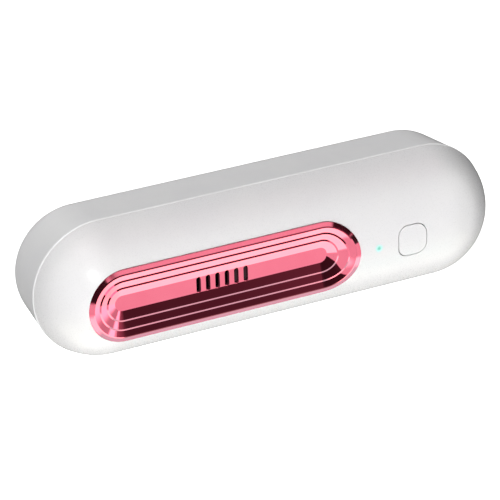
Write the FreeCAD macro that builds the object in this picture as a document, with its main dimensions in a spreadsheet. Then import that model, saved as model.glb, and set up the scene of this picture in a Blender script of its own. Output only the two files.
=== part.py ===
import FreeCAD, Part
import math
import os
from types import SimpleNamespace

import Sketcher
from FreeCAD import Placement, Rotation, Vector

# A wall-held capsule-shaped UV steriliser: a domed front shell and a straight-walled rear shell
# around a dished, plated vent tray, a power button, a cell, two boards, a UV chamber and a fan.
# Frame: +X along the body, +Z up, front towards -Y. The origin is the centre of the back pad's
# outer face, so every piece lies at negative Y.

DRIVING_SIZES = (
    # body shells
    ("body_len", 144.0), ("body_high", 40.8), ("rear_depth", 23.0), ("dome_rise", 17.65),
    ("shell_wall", 1.8), ("rear_wall", 2.0), ("rear_draft", 6.0), ("rear_round", 8.0),
    ("pad_thick", 1.0), ("pad_len", 96.0), ("pad_high", 20.0),
    ("seal_thick", 0.8), ("seal_proud", 0.12), ("seal_round", 0.2),
    ("lip_high", 2.0), ("lip_wall", 0.9), ("lip_gap", 0.25), ("lip_lean", 0.35), ("lip_foot", 2.0),
    # vent tray
    ("tray_x", -19.8), ("tray_len", 83.4), ("tray_radius", 10.9), ("tray_gap", 0.1),
    ("tray_flange", 0.8), ("tray_flange_thick", 1.2), ("tray_seat", 11.0), ("tray_floor_wall", 1.2),
    ("tray_back_inset", 1.7), ("slot_count", 6.0), ("slot_pitch", 2.95), ("slot_wide", 1.3),
    ("slot_high", 4.6), ("slot_bevel", 0.12),
    # button and indicator
    ("button_x", 39.0), ("button_wide", 8.9), ("button_high", 9.2), ("button_corner", 3.0),
    ("button_gap", 0.3), ("button_proud", 0.08), ("button_flange", 0.8), ("button_flange_front", 14.65),
    ("button_flange_thick", 1.0), ("button_stem", 1.5), ("sleeve_wall", 1.3), ("sleeve_end", 15.2),
    ("lens_x", 28.0), ("lens_radius", 0.6), ("lens_gap", 0.05), ("lens_flange_radius", 1.5),
    ("lens_flange_front", 15.6), ("lens_flange_thick", 0.8), ("lens_back", 8.3),
    # switch
    ("switch_body", 6.0), ("switch_high", 3.4), ("plunger_radius", 1.7), ("plunger_out", 1.0),
    ("plunger_gap", 0.15), ("plunger_root", 0.8), ("plunger_root_len", 1.2), ("switch_well", 1.9),
    # boards
    ("board_x", 27.0), ("board_len", 38.0), ("board_high", 27.0), ("board_thick", 1.2),
    ("board_corner", 1.5), ("board_front", 6.5), ("post_radius", 2.2), ("post_pilot_deep", 5.4),
    ("port_y", 7.4), ("port_wide", 8.94), ("port_tall", 3.2), ("port_deep", 7.2),
    ("port_wall", 0.3), ("port_start", 63.6), ("port_clear", 0.2), ("port_bottom", 0.8),
    ("charge_x", 61.0), ("charge_len", 11.5), ("charge_high", 14.6), ("charge_thick", 1.0),
    ("charge_post_radius", 1.9), ("charge_pilot_deep", 4.9),
    # cell
    ("cell_x", 26.0), ("cell_y", 9.6), ("cell_len", 50.0), ("cell_radius", 7.1),
    ("terminal_radius", 2.75), ("terminal_high", 1.0), ("contact_thick", 0.4), ("contact_high", 7.0),
    ("contact_deep", 8.0), ("cradle_wall", 1.4), ("cradle_side", 1.1), ("cradle_gap", 0.1),
    # fan and UV chamber
    ("fan_size", 25.0), ("fan_deep", 8.0), ("fan_front", 3.5), ("fan_bore", 11.7), ("fan_corner", 2.5),
    ("blade_tip", 11.2), ("hub_radius", 5.6), ("hub_wall", 0.6), ("shaft_radius", 1.0),
    ("shaft_gap", 0.04), ("blade_count", 7.0), ("blade_pitch", 38.0),
    ("chamber_len", 30.0), ("chamber_high", 20.8), ("chamber_wall", 1.0), ("chamber_seat", 6.5),
    ("chamber_plate", 2.0), ("chamber_mouth", 9.3), ("chamber_lug_len", 43.0), ("chamber_lug_high", 5.0),
    ("uv_board_thick", 1.0), ("uv_board_high", 17.0), ("window_thick", 0.7), ("window_high", 18.4),
    # screws
    ("case_screw_x", 50.0), ("case_screw_z", 14.2), ("case_seat", 6.8), ("pillar_radius", 3.0),
    ("boss_radius", 2.3), ("well_radius", 2.15), ("screw_radius", 1.0), ("screw_head", 1.9),
    ("screw_head_high", 1.4), ("screw_hole", 1.15), ("screw_pilot", 0.85), ("shank_clear", 0.05),
    # intake
    ("intake_y", 9.0), ("intake_count", 8.0), ("intake_pitch", 3.0), ("intake_wide", 1.4),
    ("intake_long", 10.0),
)

doc = FreeCAD.newDocument("uv_steriliser")


class Size:
    """A length, angle or position: its value, and the expression that gives it in the document."""

    def __init__(self, value, text=None):
        self.value = float(value)
        self.text = text if text is not None else repr(float(value))

    def __add__(self, other):
        other = as_size(other)
        return Size(self.value + other.value, f"({self.text} + {other.text})")

    def __sub__(self, other):
        other = as_size(other)
        return Size(self.value - other.value, f"({self.text} - {other.text})")

    def __mul__(self, other):
        other = as_size(other)
        return Size(self.value * other.value, f"({self.text} * {other.text})")

    def __truediv__(self, other):
        other = as_size(other)
        return Size(self.value / other.value, f"({self.text} / {other.text})")

    def __neg__(self):
        return Size(-self.value, f"(0 - {self.text})")

    def __radd__(self, other):
        return as_size(other) + self

    def __rsub__(self, other):
        return as_size(other) - self

    def __rmul__(self, other):
        return as_size(other) * self


def as_size(number):
    return number if isinstance(number, Size) else Size(number)


def make_sheet():
    """The driving sizes as a spreadsheet, and one Size for each of its aliases."""
    sheet = doc.addObject("Spreadsheet::Sheet", "dims")
    sizes = {}
    for row, (alias, value) in enumerate(DRIVING_SIZES, start=1):
        sheet.set(f"A{row}", alias)
        sheet.set(f"B{row}", str(value))
        sheet.setAlias(f"B{row}", alias)
        sizes[alias] = Size(value, f"dims.{alias}")
    doc.recompute()
    return SimpleNamespace(**sizes)


D = make_sheet()

# Stations along Y. front(d) is d in front of the seam between the shells, behind(d) is d behind it.
SEAM = -(D.pad_thick + D.rear_depth)


def front(distance):
    return SEAM - distance


def behind(distance):
    return SEAM + distance


HALF = (D.body_len - D.body_high) / 2
END_RADIUS = D.body_high / 2
TRAY_HALF = D.tray_len / 2 - D.tray_radius
DOME_RADIUS = (D.dome_rise * D.dome_rise + END_RADIUS * END_RADIUS) / (2 * D.dome_rise)
DOME_CENTRE = DOME_RADIUS - D.dome_rise
SEAL_HALF = D.seal_thick / 2
CASE_FRONT = SEAM + SEAL_HALF
CASE_BACK = -D.pad_thick
PAST = 1.0    # how far a cutting tool runs past the face it goes through
EDGE_TOLERANCE = 1e-3
NO_TURN = Rotation()
TURN = {
    "+x": Rotation(Vector(0, 1, 0), 90),
    "-x": Rotation(Vector(0, 1, 0), -90),
    "+y": Rotation(Vector(1, 0, 0), -90),
    "-y": Rotation(Vector(1, 0, 0), 90),
    "+z": NO_TURN,
}


# ---- document helpers ----------------------------------------------------------------------

def bind(item, path, size):
    size = as_size(size)
    item.setExpression(path, size.text)


def place(item, x, y, z, turn=NO_TURN):
    x, y, z = as_size(x), as_size(y), as_size(z)
    item.Placement = Placement(Vector(x.value, y.value, z.value), turn)
    bind(item, "Placement.Base.x", x)
    bind(item, "Placement.Base.y", y)
    bind(item, "Placement.Base.z", z)
    return item


def box(name, x, y, z, size_x, size_y, size_z):
    """A block centred on x and z that runs from y towards +Y."""
    item = doc.addObject("Part::Box", name)
    bind(item, "Length", size_x)
    bind(item, "Width", size_y)
    bind(item, "Height", size_z)
    return place(item, x - as_size(size_x) / 2, y, z - as_size(size_z) / 2)


def cylinder(name, x, y, z, radius, length, towards="+y"):
    item = doc.addObject("Part::Cylinder", name)
    bind(item, "Radius", radius)
    bind(item, "Height", length)
    return place(item, x, y, z, TURN[towards])


def cone(name, x, y, z, radius_a, radius_b, length, towards="+y"):
    item = doc.addObject("Part::Cone", name)
    bind(item, "Radius1", radius_a)
    bind(item, "Radius2", radius_b)
    bind(item, "Height", length)
    return place(item, x, y, z, TURN[towards])


def fuse(name, *items):
    item = doc.addObject("Part::MultiFuse", name)
    item.Shapes = list(items)
    return item


def common(name, *items):
    item = doc.addObject("Part::MultiCommon", name)
    item.Shapes = list(items)
    return item


def cut(name, base, *tools):
    item = doc.addObject("Part::Cut", name)
    item.Base = base
    item.Tool = tools[0] if len(tools) == 1 else fuse(f"{name}_tools", *tools)
    return item


def group(name, *items):
    """Separate solids that share one node."""
    item = doc.addObject("Part::Compound", name)
    item.Links = list(items)
    return item


def ring(name, x, y, z, outer, inner, length, towards="+y"):
    return cut(name, cylinder(f"{name}_outer", x, y, z, outer, length, towards),
               cylinder(f"{name}_bore", x, y, z, inner, length, towards))


def origin_plane(body, role):
    return next(item for item in body.Origin.OriginFeatures if item.Role == role)


def sketch_on(body, name):
    sketch = body.newObject("Sketcher::SketchObject", name)
    sketch.AttachmentSupport = [(origin_plane(body, "XZ_Plane"), "")]
    sketch.MapMode = "FlatFace"
    return sketch


def measure(sketch, kind, first, second, size):
    """One driving dimension between two sketch points, bound to the sheet."""
    size = as_size(size)
    index = sketch.addConstraint(Sketcher.Constraint(kind, *first, *second, size.value))
    bind(sketch, f"Constraints[{index}]", size)


def measure_radius(sketch, arc, size):
    index = sketch.addConstraint(Sketcher.Constraint("Radius", arc, size.value))
    bind(sketch, f"Constraints[{index}]", size)


ORIGIN_POINT = (-1, 1)
START, END, CENTRE = 1, 2, 3


def draw_stadium(sketch, half, radius):
    """Two level lines joined by two half circles whose centres are half away from the middle."""
    reach, round_end = half.value, radius.value
    up, level = Vector(0, 0, 1), math.pi / 2
    sketch.addGeometry([
        Part.LineSegment(Vector(reach, round_end, 0), Vector(-reach, round_end, 0)),
        Part.ArcOfCircle(Part.Circle(Vector(-reach, 0, 0), up, round_end), level, 3 * level),
        Part.LineSegment(Vector(-reach, -round_end, 0), Vector(reach, -round_end, 0)),
        Part.ArcOfCircle(Part.Circle(Vector(reach, 0, 0), up, round_end), -level, level),
    ], False)
    for edge in range(4):
        sketch.addConstraint(Sketcher.Constraint("Tangent", edge, END, (edge + 1) % 4, START))
    sketch.addConstraint(Sketcher.Constraint("Equal", 1, 3))
    sketch.addConstraint(Sketcher.Constraint("PointOnObject", 1, CENTRE, -1))
    sketch.addConstraint(Sketcher.Constraint("PointOnObject", 3, CENTRE, -1))
    measure(sketch, "DistanceX", (1, CENTRE), ORIGIN_POINT, half)
    measure(sketch, "DistanceX", ORIGIN_POINT, (3, CENTRE), half)
    measure_radius(sketch, 3, radius)


def draw_rounded_block(sketch, wide, high, corner):
    """A rectangle with rounded corners, centred on the sketch's origin."""
    half_wide, half_high, bend = wide.value / 2, high.value / 2, corner.value
    inner_wide, inner_high = half_wide - bend, half_high - bend
    up, right_angle = Vector(0, 0, 1), math.pi / 2
    corners = ((inner_wide, inner_high), (-inner_wide, inner_high),
               (-inner_wide, -inner_high), (inner_wide, -inner_high))
    sides = (((inner_wide, half_high), (-inner_wide, half_high)),
             ((-half_wide, inner_high), (-half_wide, -inner_high)),
             ((-inner_wide, -half_high), (inner_wide, -half_high)),
             ((half_wide, -inner_high), (half_wide, inner_high)))
    for side in range(4):
        start, end = sides[side]
        sketch.addGeometry(Part.LineSegment(Vector(*start, 0), Vector(*end, 0)), False)
        centre = corners[(side + 1) % 4]
        bend_arc = Part.Circle(Vector(*centre, 0), up, bend)
        turn_from = (side + 1) * right_angle
        sketch.addGeometry(Part.ArcOfCircle(bend_arc, turn_from, turn_from + right_angle), False)
    for edge in range(8):
        sketch.addConstraint(Sketcher.Constraint("Tangent", edge, END, (edge + 1) % 8, START))
    for side, direction in ((0, "Horizontal"), (2, "Vertical"), (4, "Horizontal"), (6, "Vertical")):
        sketch.addConstraint(Sketcher.Constraint(direction, side))
    for arc in (3, 5, 7):
        sketch.addConstraint(Sketcher.Constraint("Equal", 1, arc))
    measure(sketch, "DistanceX", (2, START), ORIGIN_POINT, wide / 2)
    measure(sketch, "DistanceX", ORIGIN_POINT, (6, START), wide / 2)
    measure(sketch, "DistanceY", ORIGIN_POINT, (0, START), high / 2)
    measure(sketch, "DistanceY", (4, START), ORIGIN_POINT, high / 2)
    measure_radius(sketch, 1, corner)


def pad_towards_back(body, sketch, length, draft=None):
    pad = body.newObject("PartDesign::Pad", f"{body.Name}_pad")
    pad.Profile = sketch
    pad.Reversed = True
    bind(pad, "Length", length)
    if draft is not None:
        bind(pad, "TaperAngle", -draft)
    body.Tip = pad
    doc.recompute()
    return pad


def stadium(name, x, y, half, radius, length, draft=None):
    """A stadium-shaped block that runs from y towards the back."""
    body = doc.addObject("PartDesign::Body", name)
    sketch = sketch_on(body, f"{name}_outline")
    draw_stadium(sketch, as_size(half), as_size(radius))
    pad_towards_back(body, sketch, as_size(length), draft)
    return place(body, x, y, 0)


def rounded_block(name, x, y, z, wide, high, corner, length, draft=None):
    body = doc.addObject("PartDesign::Body", name)
    sketch = sketch_on(body, f"{name}_outline")
    draw_rounded_block(sketch, as_size(wide), as_size(high), as_size(corner))
    pad_towards_back(body, sketch, as_size(length), as_size(draft) if draft is not None else None)
    return place(body, x, y, z)


def round_edges(body, name, radius, pick):
    """Fillets the edges of the body's last feature that pick(edge) chooses."""
    base = body.Tip
    chosen = [f"Edge{number}" for number, edge in enumerate(base.Shape.Edges, start=1) if pick(edge)]
    fillet = body.newObject("PartDesign::Fillet", name)
    fillet.Base = (base, chosen)
    bind(fillet, "Radius", radius)
    body.Tip = fillet
    doc.recompute()
    return fillet


def at_far_end(body):
    """Picks the edges that lie wholly at the end that a pad towards the back has reached."""
    far = body.Shape.BoundBox.YMax

    def pick(edge):
        limits = edge.BoundBox
        return abs(limits.YMin - far) < EDGE_TOLERANCE and abs(limits.YMax - far) < EDGE_TOLERANCE
    return pick


def dome(name, radius, cut_at):
    """The capsule-shaped dome of a given radius, in front of the plane cut_at."""
    centre_y = SEAM + DOME_CENTRE
    middle = cylinder(f"{name}_middle", -HALF, centre_y, 0, radius, HALF * 2, "+x")
    ends = []
    for side, towards in ((-1, "-x"), (1, "+x")):
        end = doc.addObject("Part::Sphere", f"{name}_end{(side + 3) // 2}")
        bind(end, "Radius", radius)
        end.Angle1 = 0
        place(end, HALF * side, centre_y, 0, TURN[towards])
        ends.append(end)
    whole = fuse(f"{name}_whole", middle, *ends)
    behind_cut = box(f"{name}_behind", 0, cut_at, 0, D.body_len * 2, D.body_len, D.body_len)
    return cut(name, whole, behind_cut)


TIP_RADIUS, TIP_HIGH = 0.35, 0.8
RECESS_DEEP, RECESS_LONG, RECESS_WIDE = 0.8, 2.2, 0.5


def add_screws(name, places, y_seat, length, towards="-y"):
    """Cross-head screws: y_seat is where each head bears, and the shank runs towards -y or +y."""
    side = -1 if towards == "-y" else 1
    away = "+y" if towards == "-y" else "-y"
    radius = D.screw_radius - D.shank_clear
    y_tip = as_size(y_seat) + side * length
    y_top = as_size(y_seat) - side * D.screw_head_high
    screws = []
    for number, (x, z) in enumerate(places, start=1):
        stem = f"{name}_{number}"
        shank = cylinder(f"{stem}_shank", x, y_seat, z, radius, length, towards)
        tip = cone(f"{stem}_tip", x, y_tip, z, radius, TIP_RADIUS, TIP_HIGH, towards)
        head = cylinder(f"{stem}_head", x, y_seat, z, D.screw_head, D.screw_head_high, away)
        cross = [box(f"{stem}_cross_{arm}", x, y_top - RECESS_DEEP, z, wide, 2 * RECESS_DEEP, high)
                 for arm, (wide, high) in enumerate(((RECESS_LONG, RECESS_WIDE), (RECESS_WIDE, RECESS_LONG)))]
        screws.append(cut(stem, fuse(f"{stem}_blank", shank, tip, head), *cross))
    return group(name, *screws)


# ---- shells --------------------------------------------------------------------------------

CASE_SCREWS = [(D.case_screw_x * side, D.case_screw_z * level) for side in (-1, 1) for level in (-1, 1)]
CASE_PILOT_DEEP = 8.5
BOARD_FRONT_Y = front(D.board_front)
BOARD_BACK_Y = BOARD_FRONT_Y + D.board_thick
BOARD_SCREW_OFFSETS, BOARD_SCREW_Z = (-2.0, 17.0), 11.0
BOARD_SCREWS = [(D.board_x + offset, BOARD_SCREW_Z * level) for offset in BOARD_SCREW_OFFSETS
                for level in (-1, 1)]
CHARGE_SCREW_X, CHARGE_SCREW_Z = 57.5, (-5.0, 5.0)
CHARGE_FRONT_Y = behind(D.port_y + D.port_tall / 2)
CHARGE_BACK_Y = CHARGE_FRONT_Y + D.charge_thick
DOME_CROWN_Y = front(D.dome_rise)
TRAY_SEAT_Y = front(D.tray_seat)
COLLAR_WALL = 1.7
SKIN = 1.0    # what is left of the back wall under the foot of a pillar or a post
LIP_OUTER = END_RADIUS - D.shell_wall - D.lip_gap - D.lip_lean
INTAKE_CUT = 8.0
PORT_OPENING_INSET = 9.0


def make_front_cover():
    outer = dome("cover_outer", DOME_RADIUS, SEAM - SEAL_HALF)
    hollow = dome("cover_hollow", DOME_RADIUS - D.shell_wall, SEAM)
    kept = []
    for number, (x, z) in enumerate(CASE_SCREWS, start=1):
        kept.append(cylinder(f"cover_boss_{number}", x, SEAM - SEAL_HALF, z,
                             D.boss_radius, D.dome_rise, "-y"))
    for number, (x, z) in enumerate(BOARD_SCREWS, start=1):
        kept.append(cylinder(f"cover_post_{number}", x, BOARD_FRONT_Y, z, D.post_radius, D.dome_rise, "-y"))
    kept.append(stadium("cover_collar", D.tray_x, DOME_CROWN_Y, TRAY_HALF,
                        D.tray_radius + COLLAR_WALL, TRAY_SEAT_Y - DOME_CROWN_Y))
    sleeve_grow = 2 * (D.button_gap + D.sleeve_wall)
    kept.append(rounded_block("cover_sleeve", D.button_x, DOME_CROWN_Y, 0, D.button_wide + sleeve_grow,
                              D.button_high + sleeve_grow, D.button_corner + D.sleeve_wall,
                              D.dome_rise - D.sleeve_end))
    cavity = cut("cover_cavity", hollow, *kept)
    openings = [
        stadium("cover_tray_opening", D.tray_x, DOME_CROWN_Y - PAST, TRAY_HALF,
                D.tray_radius + D.tray_gap, D.dome_rise),
        rounded_block("cover_button_opening", D.button_x, DOME_CROWN_Y - PAST, 0,
                      D.button_wide + 2 * D.button_gap, D.button_high + 2 * D.button_gap,
                      D.button_corner + D.button_gap, D.dome_rise),
        cylinder("cover_lens_opening", D.lens_x, DOME_CROWN_Y - PAST, 0, D.lens_radius + D.lens_gap,
                 D.dome_rise / 2),
    ]
    for number, (x, z) in enumerate(CASE_SCREWS, start=1):
        openings.append(cylinder(f"cover_pilot_{number}", x, SEAM, z, D.screw_pilot, CASE_PILOT_DEEP, "-y"))
    for number, (x, z) in enumerate(BOARD_SCREWS, start=1):
        openings.append(cylinder(f"cover_post_pilot_{number}", x, BOARD_FRONT_Y, z, D.screw_pilot,
                                 D.post_pilot_deep, "-y"))
    return cut("front_cover", outer, cavity, *openings)


def make_rear_case():
    deep = D.rear_depth - SEAL_HALF
    outer = stadium("case_outer", 0, CASE_FRONT, HALF, END_RADIUS, deep, D.rear_draft)
    round_edges(outer, "case_back_round", D.rear_round, at_far_end(outer.Tip))
    hollow = stadium("case_hollow", 0, CASE_FRONT, HALF, END_RADIUS - D.rear_wall, deep - D.rear_wall,
                     D.rear_draft)
    round_edges(hollow, "case_inner_round", D.rear_round - D.rear_wall, at_far_end(hollow.Tip))
    shell = cut("case_shell", outer, hollow)
    lip_bore = LIP_OUTER - D.lip_wall
    lip = cut("case_lip",
              stadium("case_lip_outer", 0, front(D.lip_high), HALF, LIP_OUTER, D.lip_high + SEAL_HALF),
              stadium("case_lip_bore", 0, front(D.lip_high) - PAST, HALF, lip_bore,
                      D.lip_high + SEAL_HALF + 2 * PAST))
    foot = cut("case_lip_foot",
               stadium("case_foot_outer", 0, CASE_FRONT, HALF, END_RADIUS - D.shell_wall, D.lip_foot),
               stadium("case_foot_bore", 0, CASE_FRONT - PAST, HALF, lip_bore, D.lip_foot + 2 * PAST))
    posts, holes = [], []
    for number, (x, z) in enumerate(CASE_SCREWS, start=1):
        posts.append(cylinder(f"case_pillar_{number}", x, CASE_FRONT, z, D.pillar_radius, deep - SKIN))
        holes.append(cylinder(f"case_well_{number}", x, behind(D.case_seat), z, D.well_radius, D.rear_depth))
        holes.append(cylinder(f"case_hole_{number}", x, CASE_FRONT - PAST, z, D.screw_hole,
                              D.case_seat + 2 * PAST))
    for number, z in enumerate(CHARGE_SCREW_Z, start=1):
        posts.append(cylinder(f"case_port_post_{number}", CHARGE_SCREW_X, CHARGE_BACK_Y, z,
                              D.charge_post_radius, CASE_BACK - SKIN - CHARGE_BACK_Y))
        holes.append(cylinder(f"case_port_pilot_{number}", CHARGE_SCREW_X, CHARGE_BACK_Y, z, D.screw_pilot,
                              D.charge_pilot_deep))
    holes.append(rounded_port("case_port_opening", D.body_len / 2 - PORT_OPENING_INSET, D.port_clear,
                              PORT_OPENING_INSET + PAST))
    for number in range(int(D.intake_count.value)):
        x = D.tray_x + D.intake_pitch * (number - (D.intake_count.value - 1) / 2)
        holes.append(box(f"case_intake_{number + 1}", x, behind(D.intake_y) - D.intake_long / 2,
                         -END_RADIUS, D.intake_wide, D.intake_long, INTAKE_CUT))
    inside = common("case_posts", fuse("case_post_set", *posts), outer)
    return cut("rear_case", fuse("case_body", shell, lip, foot, inside), *holes)


def rounded_port(name, x_start, clearance, length):
    """A rounded bar along +X with the charging port's section, grown by clearance."""
    radius = D.port_tall / 2 + clearance
    offset = (D.port_wide - D.port_tall) / 2
    y = behind(D.port_y)
    low = cylinder(f"{name}_low", x_start, y, -offset, radius, length, "+x")
    high = cylinder(f"{name}_high", x_start, y, offset, radius, length, "+x")
    middle = box(f"{name}_middle", as_size(x_start) + as_size(length) / 2, y - radius, 0,
                 length, radius * 2, offset * 2)
    return fuse(name, low, middle, high)


def make_seal_ring():
    outer = stadium("seal_outer", 0, SEAM - SEAL_HALF, HALF, END_RADIUS + D.seal_proud, D.seal_thick)
    round_edges(outer, "seal_edge_round", D.seal_round, lambda edge: True)
    bore = stadium("seal_bore", 0, SEAM - SEAL_HALF - PAST, HALF, END_RADIUS - D.shell_wall,
                   D.seal_thick + 2 * PAST)
    return cut("seal_ring", outer, bore)


def make_adhesive_pad():
    return stadium("adhesive_pad", 0, CASE_BACK, (D.pad_len - D.pad_high) / 2, D.pad_high / 2, D.pad_thick)


# ---- vent tray -----------------------------------------------------------------------------

# Each contour of the tray's face: distance in from the rim's edge, depth in front of the seam
# along the straight sides, and how much of the dome's rise it follows round the right-hand end.
TRAY_CONTOURS = (
    ("rim_edge", 0.0, 14.9, 1.0),
    ("rim_inner", 1.2, 15.2, 0.88),
    ("rim_crest", 1.55, 15.4, 0.83),
    ("first_valley", 3.2, 14.75, 0.82),
    ("first_ridge", 3.7, 14.9, 0.78),
    ("second_valley", 5.65, 14.05, 0.35),
    ("second_ridge", 6.15, 14.2, 0.30),
    ("floor_edge", 8.55, 13.2, 0.0),
)
FLOOR_DEPTH = TRAY_CONTOURS[-1][2]
FLOOR_Y = front(FLOOR_DEPTH)
ARC_STEPS = 16
TRAY_HOLLOW_DEEP = 6.0
TRAY_PILOT_DEEP = 4.5
SLOT_CUT_DEEP = 2.5
CORNER_LAND = 0.01    # the short straight left between the two bends at each end of a slot
CHAMBER_SEAT_Y = front(D.chamber_seat)
CHAMBER_SCREW_REACH = 19.0
CHAMBER_SCREW_X = (D.tray_x - CHAMBER_SCREW_REACH, D.tray_x + CHAMBER_SCREW_REACH)


def rise_of_rim(angle):
    """How far the dome climbs from the straight side to this angle round the right-hand end."""
    radius, edge = DOME_RADIUS.value, D.tray_radius.value
    side = math.sqrt(radius ** 2 - edge ** 2)
    return math.sqrt(radius ** 2 - (edge * math.sin(angle)) ** 2) - side


def contour_edges(radius, y, follow):
    """Straight top, right-hand end, straight bottom and left-hand end of one tray contour."""
    middle, half = D.tray_x.value, TRAY_HALF.value
    left, right = middle - half, middle + half
    bend = Part.BSplineCurve()
    points = []
    for step in range(ARC_STEPS + 1):
        angle = math.pi / 2 - math.pi * step / ARC_STEPS
        depth = y - follow * rise_of_rim(angle)
        points.append(Vector(right + radius * math.cos(angle), depth, radius * math.sin(angle)))
    speed = Vector(math.pi * radius, 0, 0)
    bend.interpolate(Points=points, Parameters=[step / ARC_STEPS for step in range(ARC_STEPS + 1)],
                     InitialTangent=speed, FinalTangent=-speed, Scale=False)
    left_arc = Part.Arc(Vector(left, y, -radius), Vector(left - radius, y, 0), Vector(left, y, radius))
    return [
        Part.makeLine(Vector(left, y, radius), Vector(right, y, radius)),
        bend.toShape(),
        Part.makeLine(Vector(right, y, -radius), Vector(left, y, -radius)),
        left_arc.toShape(),
    ]


def make_vent_tray():
    edge = D.tray_radius.value
    seat_y = TRAY_SEAT_Y.value
    contours = [contour_edges(edge, seat_y, 0.0)]
    for _, inset, depth, follow in TRAY_CONTOURS:
        contours.append(contour_edges(edge - inset, SEAM.value - depth, follow))
    faces = []
    for outer, inner in zip(contours, contours[1:]):
        faces += [Part.makeRuledSurface(first, second) for first, second in zip(outer, inner)]
    for closing in (contours[0], contours[-1]):
        faces.append(Part.Face(Part.Wire(Part.__sortEdges__(closing))))
    shell = Part.makeShell(faces)
    shell.sewShape()
    block = Part.makeSolid(shell)
    if block.Volume < 0:
        block.reverse()
    raised = doc.addObject("Part::Feature", "tray_face")
    raised.Shape = block
    flange = stadium("tray_flange_plate", D.tray_x, TRAY_SEAT_Y, TRAY_HALF,
                     D.tray_radius + D.tray_flange, D.tray_flange_thick)
    hollow = stadium("tray_hollow", D.tray_x, FLOOR_Y + D.tray_floor_wall, TRAY_HALF,
                     D.tray_radius - D.tray_back_inset, TRAY_HOLLOW_DEEP)
    post_front = FLOOR_Y + D.tray_floor_wall / 2
    posts = [cylinder(f"tray_post_{number}", x, post_front, 0, D.post_radius, CHAMBER_SEAT_Y - post_front)
             for number, x in enumerate(CHAMBER_SCREW_X, start=1)]
    dished = cut("tray_dished", fuse("tray_blank", raised, flange), hollow)
    holes = []
    for number in range(int(D.slot_count.value)):
        x = D.tray_x + D.slot_pitch * (number - (D.slot_count.value - 1) / 2)
        holes.append(slot_block(f"tray_slot_{number + 1}", x, FLOOR_Y - PAST, 0.0, SLOT_CUT_DEEP + PAST))
        holes.append(slot_block(f"tray_slot_bevel_{number + 1}", x, FLOOR_Y - D.slot_bevel,
                                2 * D.slot_bevel, 2 * D.slot_bevel, BEVEL_ANGLE))
    holes += [cylinder(f"tray_post_pilot_{number}", x, CHAMBER_SEAT_Y, 0, D.screw_pilot,
                       TRAY_PILOT_DEEP, "-y")
              for number, x in enumerate(CHAMBER_SCREW_X, start=1)]
    return cut("vent_tray", fuse("tray_body", dished, *posts), *holes)


BEVEL_ANGLE = 45.0


def slot_block(name, x, y, grow, length, draft=None):
    """A slot's outline, wider all round by grow, as a block that runs from y towards the back."""
    wide, high = D.slot_wide + 2 * as_size(grow), D.slot_high + 2 * as_size(grow)
    return rounded_block(name, x, y, 0, wide, high, wide / 2 - CORNER_LAND, length, draft)


# ---- button and indicator ------------------------------------------------------------------

SWITCH_TOP_Y = BOARD_FRONT_Y - D.switch_high
PLUNGER_TOP_Y = SWITCH_TOP_Y - D.plunger_out
SWITCH_LEG_X, SWITCH_LEG_Z = 3.4, 2.2
SWITCH_LEG = (0.9, 0.6, 0.8)
LED_BASE, LED_BULB = (2.0, 0.4, 1.25), (1.3, 0.6, 1.2)
LENS_PROUD = 0.02


def make_power_button():
    face = dome("button_face", DOME_RADIUS + D.button_proud, front(D.button_flange_front))
    column = rounded_block("button_column", D.button_x, DOME_CROWN_Y - PAST, 0, D.button_wide,
                           D.button_high, D.button_corner, D.dome_rise)
    cap = common("button_cap", face, column)
    flange_y = front(D.button_flange_front)
    flange = rounded_block("button_flange_plate", D.button_x, flange_y, 0,
                           D.button_wide + 2 * D.button_flange, D.button_high + 2 * D.button_flange,
                           D.button_corner + D.button_flange, D.button_flange_thick)
    stem_y = flange_y + D.button_flange_thick / 2
    stem = cylinder("button_stem_rod", D.button_x, stem_y, 0, D.button_stem, PLUNGER_TOP_Y - stem_y)
    return fuse("power_button", cap, flange, stem)


def make_tact_switch():
    body = box("switch_block", D.button_x, SWITCH_TOP_Y, 0, D.switch_body, D.switch_high, D.switch_body)
    well = cylinder("switch_well_cut", D.button_x, SWITCH_TOP_Y, 0, D.plunger_radius + D.plunger_gap,
                    D.switch_well)
    wide, thick, high = SWITCH_LEG
    corners = ((-1, -1), (-1, 1), (1, -1), (1, 1))
    legs = [box(f"switch_leg_{number}", D.button_x + SWITCH_LEG_X * side, BOARD_FRONT_Y - thick,
                SWITCH_LEG_Z * level, wide, thick, high)
            for number, (side, level) in enumerate(corners, start=1)]
    return fuse("tact_switch", cut("switch_case", body, well), *legs)


def make_switch_plunger():
    return fuse("switch_plunger",
                cylinder("plunger_rod", D.button_x, PLUNGER_TOP_Y, 0, D.plunger_radius, 2 * D.plunger_out),
                cylinder("plunger_root_rod", D.button_x, SWITCH_TOP_Y, 0, D.plunger_root,
                         D.plunger_root_len))


def make_indicator_lens():
    face = dome("lens_face", DOME_RADIUS + LENS_PROUD, front(D.lens_back))
    column = cylinder("lens_column", D.lens_x, DOME_CROWN_Y - PAST, 0, D.lens_radius, D.dome_rise)
    flange = cylinder("lens_flange", D.lens_x, front(D.lens_flange_front), 0, D.lens_flange_radius,
                      D.lens_flange_thick)
    return fuse("indicator_lens", common("lens_rod", face, column), flange)


def make_status_led():
    layers, y = [], BOARD_FRONT_Y
    for name, (wide, thick, high) in (("led_base", LED_BASE), ("led_bulb", LED_BULB)):
        y = y - thick
        layers.append(box(name, D.lens_x, y, 0, wide, thick, high))
    return fuse("status_led", *layers)


# ---- boards and port -----------------------------------------------------------------------

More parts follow.
